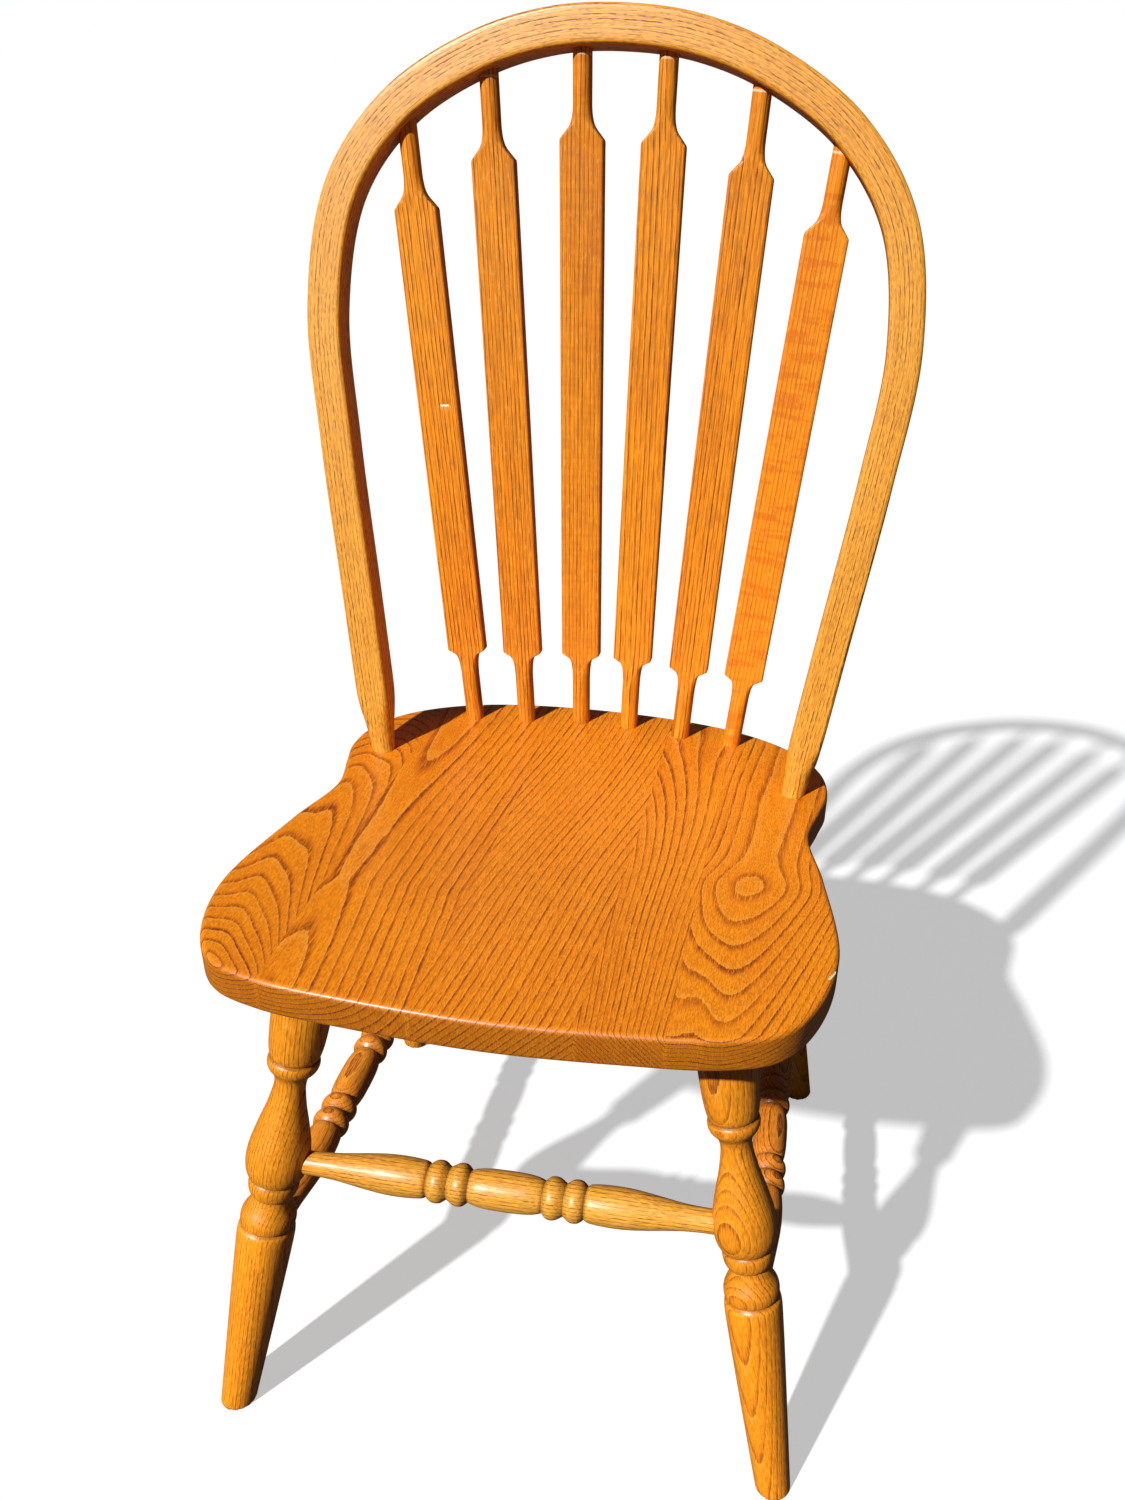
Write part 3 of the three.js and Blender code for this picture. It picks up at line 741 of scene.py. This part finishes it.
# Bow: drawn flat with the seat top at Y = 0 and its front face at Z = 0, then reclined onto the seat.
bow_low, bow_high = (np.array(corner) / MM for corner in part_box("bow"))
bow_half = (bow_high[0] - bow_low[0] - BOW_FACE - FIT) / 2
lean = math.radians(90 - BOW_RECLINE)
bow_rise = (bow_high[2] - seat_top) / math.sin(lean) - BOW_FACE / 2
bow_right = np.array([(across * bow_half, rise * bow_rise, 0) for across, rise in BOW_CURVE])
foot_way = unit(bow_right[1] - bow_right[0])
bow_end = bow_right[0] - 2 * BOW_SOCKET * foot_way
bow_half_line = np.vstack([bow_end, bow_right])
bow_fine = curve_through(np.vstack([other_side(bow_half_line), bow_half_line[-2::-1]]), steps=60)
bow_turn = np.array([(1, 0, 0), (0, math.cos(lean), -math.sin(lean)), (0, math.sin(lean), math.cos(lean))])
bow_place = seat_point(0, BOW_PLACE, seat_top)


def reclined(points):
    """Points of the flat drawing of the bow, set on the seat."""
    return np.asarray(points) @ bow_turn.T + bow_place


def whittled_radius(distance):
    """Radius that the foot of the bow is whittled to, at a distance above the seat."""
    shape = ((5, BOW_TENON / 2), (0.4 * BOW_WHITTLED, BOW_TENON / 2 + 2),
             (BOW_WHITTLED + 6, 0.8 * BOW_FACE), (BOW_WHITTLED + 30, 2 * BOW_FACE))
    return np.interp(distance, *zip(*shape))


def bow_sections():
    """Sections of the bow along its middle line."""
    line = resample(bow_fine, BOW_SECTIONS)
    tangent = np.gradient(line, axis=0)
    tangent /= np.linalg.norm(tangent, axis=1)[:, None]
    # Height above the seat, measured along the foot.
    above = np.minimum(line[:, 1] / foot_way[1], bow_rise)
    keep = above > -BOW_SOCKET
    corner = np.linspace(0, math.pi / 2, CORNER_STEPS)
    a, b = BOW_FACE / 2, BOW_THICKNESS / 2
    quarter = BOW_ROUND * np.stack([np.cos(corner), np.sin(corner)], 1) + (a - BOW_ROUND, b - BOW_ROUND)
    side = np.linspace(-1, 1, CORNER_STEPS)[1:-1]
    level = np.ones_like(side)
    outline = np.vstack([
        np.stack([a * level, side * (b - BOW_ROUND)], 1), quarter,
        np.stack([-side * (a - BOW_ROUND), b * level], 1), quarter[::-1] * (-1, 1),
        np.stack([-a * level, -side * (b - BOW_ROUND)], 1), -quarter,
        np.stack([side * (a - BOW_ROUND), -b * level], 1), quarter[::-1] * (1, -1)])
    reach = np.linalg.norm(outline, axis=1)
    rings = []
    for point, way, height in zip(line[keep], tangent[keep], above[keep]):
        # A soft meeting of the square bar and the whittled round.
        limit = whittled_radius(height)
        fit = (reach ** -MEETING + limit ** -MEETING) ** (-1 / MEETING)
        section = outline * (fit / reach)[:, None]
        out = np.array([-way[1], way[0], 0])
        rings.append(point + section[:, :1] * out + (section[:, 1:] - BOW_THICKNESS / 2) * UP)
    return rings


bow = mesh_piece("bow_bent", *loft([reclined(ring) for ring in bow_sections()]))


# Spindles: round necks that widen to a flat blade with slanted shoulders.
def bow_point(across):
    """Middle of the bow above a place across it."""
    upper = bow_fine[len(bow_fine) // 4:3 * len(bow_fine) // 4 + 1]
    return reclined([across, np.interp(across, upper[:, 0], upper[:, 1]), -BOW_THICKNESS / 2])


def bend(start, pull, end, count=9):
    """Points on a curve from start to end, drawn toward a point."""
    t = np.linspace(0, 1, count)[:, None]
    start, pull, end = (np.asarray(p, float) for p in (start, pull, end))
    return (1 - t) ** 2 * start + 2 * t * (1 - t) * pull + t**2 * end


def spindle_sections(length):
    """Half width and half thickness along a spindle, as pairs of distance and size."""
    half = BLADE_WIDTH / 2
    low, high = LOWER_SHOULDER, length - UPPER_SHOULDER
    low_cove, high_cove = low - LOWER_SLANT[1], high + UPPER_SLANT[1]
    low_neck, high_neck = LOWER_NECK / 2, UPPER_NECK / 2
    cove = COVE_HEIGHT + COVE_RUN
    below, in_from_side, above = POINT_EASE
    outline = np.vstack([
        [(-SPINDLE_SOCKET, low_neck), (0, low_neck)],
        bend((low - cove, low_neck), (low_cove - COVE_TURN[0], low_neck), (low_cove, half - LOWER_SLANT[0])),
        [(low - below, half - in_from_side), (low + above, half)],
        [(high - above, half), (high + below, half - in_from_side)],
        bend((high_cove, half - UPPER_SLANT[0]), (high_cove + COVE_TURN[1], high_neck),
             (high + cove, high_neck)),
        [(length, high_neck)],
    ])
    flat = BLADE_THICKNESS / 2
    swollen = flat + FLATTEN_SWELL
    low_from, high_from = low - FLATTEN_FROM[0], high + FLATTEN_FROM[1]
    depth = np.array([
        (-SPINDLE_SOCKET, low_neck), (low_from - COVE_HEIGHT, low_neck), (low_from, swollen),
        (low + FLATTEN_RUN, flat), (high - FLATTEN_RUN, flat),
        (high_from, swollen), (high_from + COVE_HEIGHT, high_neck), (length, high_neck)])
    return outline, depth


def spindle_ring(half, flat):
    """Section of a spindle: round in the neck, flat with eased corners in the blade."""
    least = min(half, flat)
    corner = min(FULLEST_CORNER * least, max(BLADE_ROUND, least - (half - flat)))
    angles = np.linspace(0, math.pi / 2, CORNER_STEPS)
    quarter = np.stack([half - corner + corner * np.cos(angles), flat - corner + corner * np.sin(angles)], 1)
    face = np.linspace(1, -1, FACE_STEPS)[1:-1, None] * (half - corner, 0) + (0, flat)
    upper = np.vstack([quarter, face, quarter[::-1] * (-1, 1)])
    return np.vstack([upper, -upper])


# How each spindle was cut, left to right: pith distance, turn, climb, offset, tone, curl.
SPINDLE_CUT = (
    (90, 20, 0.004, 7, 1.02, 0.0),
    (80, 165, 0.003, 29, 0.97, 0.0),
    (70, 160, 0.006, 53, 0.91, 0.35),
    (85, 40, 0.008, 83, 1.0, 0.0),
    (75, 150, 0.004, 109, 1.0, 0.0),
    (95, 25, 0.004, 137, 1.06, 0.9),
)
# A scratch through the lacquer across the first spindle: its middle, length and depth, and the radius of
# the edge that cut it.
SCRATCH = ((-134.8, 180.7, 708), 7, 0.2)
SCRATCH_TOOL = 1.6
# A pale band painted at the front of the neck tops, just under the bow: a painted highlight where light
# catches them below the bow's shadow. Distance from the head, and how much.
NECK_GLINT = (15.4, 17)
NECK_GLINT_SHARE = (0, 0.5, 0.3, 0.4, 0.6, 0.6)
spindle_places = [(-x, y, -t) for x, y, t in reversed(SPINDLES)] + list(SPINDLES)
seat_sockets, bow_sockets = [], []
for number, ((across, back, head_share), cut) in enumerate(zip(spindle_places, SPINDLE_CUT), 1):
    foot = seat_point(across, back, seat_top)
    head = bow_point(head_share * bow_half)
    length = np.linalg.norm(head - foot)
    axes = axes_between(foot, head, FRONT)
    outline, depth = spindle_sections(length)
    neck_glint = length - np.array(NECK_GLINT)
    steps = np.arange(0, length, SPINDLE_STEP)
    at = np.unique(np.concatenate([outline[:, 0], depth[:, 0], neck_glint, steps]))
    rings = []
    for d in at:
        half = np.interp(d, *outline.T)
        flat = min(np.interp(d, *depth.T), half)
        section = spindle_ring(half, flat)
        rings.append(foot + d * axes[1] + section[:, :1] * axes[0] + section[:, 1:] * axes[2])
    piece = mesh_piece(f"spindle_{number}_shaved", *loft(rings))
    scratches = []
    if number == 1:
        middle, run, deep = SCRATCH
        middle = middle + (SCRATCH_TOOL - deep) * axes[2]
        scratches = [(middle - run / 2 * axes[0], middle + run / 2 * axes[0], SCRATCH_TOOL)]
        combine(piece, scratches, "DIFFERENCE")
    # Painted highlight: a pale band at the front of each neck top, below the bow's shadow.
    away = (face_centres(piece) - foot) @ np.stack([axes[1], axes[2]], 1)
    in_band = (away[:, 0] > neck_glint[1]) & (away[:, 0] < neck_glint[0]) & (away[:, 1] > 0)
    wear_and_glint = np.maximum(cut_by(piece, scratches), NECK_GLINT_SHARE[number - 1] * in_band)
    pith, turn, climb, offset, tone, curl = cut
    settle(piece, "spindle_oak", [f"spindle_{number}"],
           round_log(places(piece), foot, axes, pith, turn, climb, offset), axes[1], tone, curl, wear_and_glint)
    sunk = SPINDLE_SOCKET * axes[1]
    seat_sockets.append((foot - sunk - FIT * axes[1], foot + sunk, LOWER_NECK / 2 + FIT))
    bow_sockets.append((head - 2 * sunk, head + FIT * axes[1], UPPER_NECK / 2 + FIT))

combine(bow, bow_sockets, "DIFFERENCE")

# How the bow was cut: cosine and sine of the slant of the rings across it, and their climb.
BOW_CUT = (0.8, 0.6, 0.004)
# Height of the point that the inner side of the bow faces, as a share of its rise.
BOW_HEART = 0.6
bow_points = (places(bow) - bow_place) @ bow_turn
bow_line = resample(bow_fine, 3 * BOW_SECTIONS)
bow_run = lengths_along(bow_line)
nearest = np.array([np.argmin(np.sum((bow_line[:, :2] - p[:2]) ** 2, 1)) for p in bow_points])
bow_side = bow_points[:, :2] - bow_line[nearest, :2]
bow_out = np.linalg.norm(bow_side, axis=1)
bow_out[np.sum(bow_side * (bow_line[nearest, :2] - (0, BOW_HEART * bow_rise)), 1) < 0] *= -1
slant_cos, slant_sin, climb = BOW_CUT
bow_wood = np.stack([
    bow_out * slant_cos + bow_points[:, 2] * slant_sin + climb * bow_run[nearest],
    bow_points[:, 2] * slant_cos - bow_out * slant_sin, bow_run[nearest]], 1)
bow_way = np.gradient(bow_line, axis=0)[nearest] @ bow_turn.T
bow_way /= np.linalg.norm(bow_way, axis=1)[:, None]
settle(bow, "bow_oak", ["bow"], bow_wood, bow_way)

# Seat: a grid of cells inside the outline, a rounded edge, a dish, sockets and five glued boards.
outline_right = np.array([seat_point(x, y, 0) for x, y in SEAT_OUTLINE])
outline_left = other_side(outline_right[-2:0:-1])
outline_line = curve_through(np.vstack([outline_right, outline_left]), closed=True, steps=40)


def nearest_to(point):
    """Number of the outline point that is nearest."""
    return int(np.argmin(np.linalg.norm(outline_line - point, axis=1)))


def dish_depth(points):
    """How far the dish lies below the flat of the seat."""
    middle = seat_low[1] + DISH_MIDDLE * seat_depth
    share = np.hypot(points[..., 0] / (DISH_WIDTH / 2), (points[..., 1] - middle) / (DISH_LENGTH / 2))
    return np.maximum(0, DISH_DEPTH * (0.5 + 0.5 * np.cos(math.pi * np.minimum(share, 1))) - FIT)


def seat_slab():
    """Points and faces of the whole seat before it is drilled."""
    n = SEAT_CELLS
    front_right = nearest_to(seat_point(*SEAT_FRONT_CORNER, 0))
    back_right = nearest_to(seat_point(*SEAT_BACK_CORNER, 0))
    back_left = nearest_to(other_side(seat_point(*SEAT_BACK_CORNER, 0)))
    front_left = nearest_to(other_side(seat_point(*SEAT_FRONT_CORNER, 0)))
    looped = np.vstack([outline_line, outline_line])
    total = len(outline_line)
    sides = []
    for start, end in ((front_left, front_right + total), (front_right, back_right),
                       (back_right, back_left), (back_left, front_left)):
        end += total if end < start else 0
        sides.append(resample(looped[start:end + 1], n + 1)[:-1])
    rim = np.vstack(sides)
    way = np.roll(rim, -1, 0) - np.roll(rim, 1, 0)
    inward = np.stack([-way[:, 1], way[:, 0], 0 * way[:, 0]], 1)
    inward /= np.linalg.norm(inward, axis=1)[:, None]

    def loop(inset):
        return rim + inset * inward

    def grid(inset):
        edge = loop(inset)
        front, right = edge[:n + 1], edge[n:2 * n + 1]
        back, left = edge[2 * n:3 * n + 1][::-1], np.vstack([edge[3 * n:], edge[:1]])[::-1]
        u = np.linspace(0, 1, n + 1)[None, :, None]
        v = np.linspace(0, 1, n + 1)[:, None, None]
        flat = (1 - v) * front[None] + v * back[None] + (1 - u) * left[:, None] + u * right[:, None]
        return flat - ((1 - u) * (1 - v) * front[0] + u * (1 - v) * front[-1]
                       + (1 - u) * v * back[0] + u * v * back[-1])

    top, under = grid(SEAT_ROUND + EDGE_RIM), grid(SEAT_ROUND + EDGE_RIM)
    top[..., 2] = seat_top - dish_depth(top)
    under[..., 2] = seat_under
    border = np.concatenate([np.arange(n), np.arange(n) * (n + 1) + n,
                             (n + 1) ** 2 - 1 - np.arange(n), (n - np.arange(n)) * (n + 1)])
    points = [top.reshape(-1, 3)]
    rings = [border]
    count = (n + 1) ** 2
    for angle in np.linspace(0, math.pi, EDGE_STEPS):
        ring = loop(SEAT_ROUND - SEAT_ROUND * math.sin(angle))
        centre = seat_top - SEAT_ROUND if angle <= math.pi / 2 else seat_under + SEAT_ROUND
        ring[:, 2] = centre + SEAT_ROUND * math.cos(angle)
        points.append(ring)
        rings.append(np.arange(count, count + len(ring)))
        count += len(ring)
        if abs(angle - math.pi / 2) < 1e-9:
            lower = ring.copy()
            lower[:, 2] = seat_under + SEAT_ROUND
            points.append(lower)
            rings.append(np.arange(count, count + len(lower)))
            count += len(lower)
    points.append(under.reshape(-1, 3))
    rings.append(border + count)
    cells = [(j * (n + 1) + i, j * (n + 1) + i + 1, (j + 1) * (n + 1) + i + 1, (j + 1) * (n + 1) + i)
             for j in range(n) for i in range(n)]
    faces = cells + [tuple(k + count for k in reversed(cell)) for cell in cells]
    for upper, lower in zip(rings, rings[1:]):
        for k in range(len(upper)):
            m = (k + 1) % len(upper)
            faces.append((upper[k], lower[k], lower[m], upper[m]))
    return np.vstack(points), [tuple(int(k) for k in face) for face in faces]


# A nick in the rounded edge at the right front corner: its two ends and its radius.
NICK = ((211.4, -143.6, 439.8), (216.1, -133.6, 438.4), 1.2)
nicks = [(np.array(NICK[0]), np.array(NICK[1]), NICK[2])]
bow_foot = bow_right[0] - BOW_THICKNESS / 2 * UP
foot_ends = [reclined(bow_foot + rise * foot_way) for rise in (-BOW_SOCKET - FIT, BOW_SOCKET)]
bow_pegs = [(*ends, BOW_TENON / 2 + FIT) for ends in (foot_ends, [other_side(end) for end in foot_ends])]
seat = mesh_piece("seat_whole", *seat_slab())
combine(seat, [*seat_sockets, *bow_pegs, *leg_sockets, *nicks], "DIFFERENCE")


# How fast the rings of a flat-cut board change with depth, and how far apart in the wood, across and
# along, the boards were cut.
RING_DIP = 0.7
BOARD_APART = (40, 500)


def board_wood(number, points):
    """Wood coordinates of a seat board: each was cut from its log in another way. The pith lies at a place
    across the seat and below its top; lean and climb are slopes along the board."""
    x, y, z = points[:, 0], points[:, 1], points[:, 2] - seat_top
    if number == 1:
        # Flat-cut, with nested arches that point to the back.
        pith, below, lean, climb = -185, 120, 0.09, 0.057
        crowding = 2.2e-6 * (y + 20) ** 3
        ripple = 0.3 * np.sin(x / 4.5 + y / 40)
        out = np.hypot(x - pith - lean * y, below - RING_DIP * z) + climb * y + crowding + ripple
    elif number == 2:
        # A tongue that points to the front meets an arch that points to the back.
        meeting, middle, lean = -97, -135, 0.04
        width, tip, flank, age = 0.34, 25, 60, 110.75
        back = y - meeting
        aside = x - middle - lean * back
        climb = np.where(back > 0, 0.0143, -0.0356)
        dip = RING_DIP * z / (1 + (aside / flank) ** 2)
        out = width * np.hypot(aside, tip) - climb * back + (age - dip)
    elif number == 3:
        # Straight lines that lean to the right.
        lean, width, age = 0.17, 0.39, 300
        sway = 3 * np.sin(y / 50)
        out = width * (x - lean * y - sway - z) + age
    elif number == 4:
        # Straight lines that fan out to the back.
        middle, dip, age = 95, 0.6, 420
        width = 0.53 - 0.0014 * (y + 140)
        out = width * (x - middle) + dip * z + age
    else:
        # Flat-cut through a hump, which leaves a closed eye, and bows and waves in front of it.
        hump, pith, below, lean = -48, 151, 121.2, 0.1
        back = y - hump
        in_front, behind = 0.08 * (np.hypot(back, 8) - 8), 2.2 * (1 - np.exp(-(back / 25) ** 2))
        wave = 2.4 * np.exp(-((x - 131) / 13) ** 2) * np.clip((-y - 100) / 80, 0, 1)
        eye = np.hypot(x - pith - lean * back, below - RING_DIP * z)
        out = eye + np.where(back < 0, in_front, behind) + wave
    return np.stack([out, x + BOARD_APART[0] * number, y + BOARD_APART[1] * number], 1)


# Tone of each board, left to right.
BOARD_TONE = (0.98, 1.0, 1.0, 1.0, 1.0)
for number, node in enumerate(boards, 1):
    piece = in_scene(f"{node}_dished", seat.data.copy())
    if number > 1:
        trim(piece, (BOARD_JOINTS[number - 2] + GLUE_LINE / 2, 0, 0), (-1, 0, 0))
    if number < len(boards):
        trim(piece, (BOARD_JOINTS[number - 1] - GLUE_LINE / 2, 0, 0), (1, 0, 0))
    settle(piece, "seat_oak", [node], board_wood(number, places(piece)), FRONT, BOARD_TONE[number - 1],
           wear_and_glint=cut_by(piece, nicks))
bpy.data.meshes.remove(seat.data)

# Stage: a wide white floor, a hard key lamp from the front left, and weak even light all round.
FLOOR_REACH = 60
KEY_FROM = (-0.53, -0.85, 0.86)
KEY_STRENGTH = 5.0
KEY_SPREAD = 1.5
SKY_STRENGTH = 0.05
BACKDROP_STRENGTH = 1.0
FLOOR_GLOW = 0.5
WHITE = "#ffffff"
FLOOR_BOUNCE = "#403e3c"

floor_mesh = bpy.data.meshes.new("floor")
r = FLOOR_REACH
floor_mesh.from_pydata([(-r, -r, 0), (r, -r, 0), (r, r, 0), (-r, r, 0)], [], [(0, 1, 2, 3)])
floor = in_scene("floor", floor_mesh)
floor_paint = bpy.data.materials.new("floor_pale_paint")
floor_paint.use_nodes = True
paint = floor_paint.node_tree
seen = add(paint, "ShaderNodeLightPath").outputs["Is Camera Ray"]
tint = add(paint, "ShaderNodeMix", {0: seen, 6: colour(FLOOR_BOUNCE), 7: colour(WHITE)}, data_type="RGBA")
matt = paint.nodes["Principled BSDF"]
paint.links.new(tint.outputs[2], matt.inputs["Base Color"])
matt.inputs["Roughness"].default_value = 1.0
matt.inputs["Specular IOR Level"].default_value = 0.0
# The camera sees the shadows half filled in; the object is not lit by this.
glow = add(paint, "ShaderNodeEmission", {"Color": colour(WHITE), "Strength": 1.0})
share = add(paint, "ShaderNodeMath", {0: seen, 1: FLOOR_GLOW}, operation="MULTIPLY")
mixed = add(paint, "ShaderNodeMixShader", {0: share, 1: matt, 2: glow})
paint.links.new(mixed.outputs[0], paint.nodes["Material Output"].inputs["Surface"])
floor_mesh.materials.append(floor_paint)

key = bpy.data.lights.new("key", "SUN")
key.energy, key.angle = KEY_STRENGTH, math.radians(KEY_SPREAD)
key_lamp = in_scene("key", key)
key_lamp.rotation_euler = (-Vector(KEY_FROM)).to_track_quat("-Z", "Y").to_euler()

# The camera sees a white backdrop; the object is lit by the weaker sky.
world = bpy.data.worlds.new("studio")
world.use_nodes = True
sky = world.node_tree
looked_at = add(sky, "ShaderNodeLightPath").outputs["Is Camera Ray"]
level = add(sky, "ShaderNodeMix", {"Factor": looked_at, "A": SKY_STRENGTH, "B": BACKDROP_STRENGTH})
sky.nodes["Background"].inputs["Color"].default_value = colour(WHITE)
sky.links.new(level.outputs["Result"], sky.nodes["Background"].inputs["Strength"])
bpy.context.scene.world = world
bpy.context.scene.view_settings.view_transform = "Standard"

# Camera at the photograph's viewing angle.
yaw, pitch, roll = (math.radians(a) for a in (CAMERA_YAW, CAMERA_PITCH, CAMERA_ROLL))
right = np.array([math.cos(yaw), math.sin(yaw), 0])
ahead = np.array([-math.sin(yaw) * math.cos(pitch), math.cos(yaw) * math.cos(pitch), -math.sin(pitch)])
above = np.cross(right, ahead)
turned_right = math.cos(roll) * right + math.sin(roll) * above
turned_above = -math.sin(roll) * right + math.cos(roll) * above
lens = bpy.data.cameras.new("camera")
lens.sensor_width = SENSOR
lens.lens = CAMERA_FOCAL * SENSOR
lens.shift_x, lens.shift_y = CAMERA_SHIFT
camera = in_scene("camera", lens)
camera.matrix_world = Matrix.Translation(CAMERA_PLACE) @ Matrix(
    np.stack([turned_right, turned_above, -ahead], 1).tolist()).to_4x4()
bpy.context.scene.camera = camera
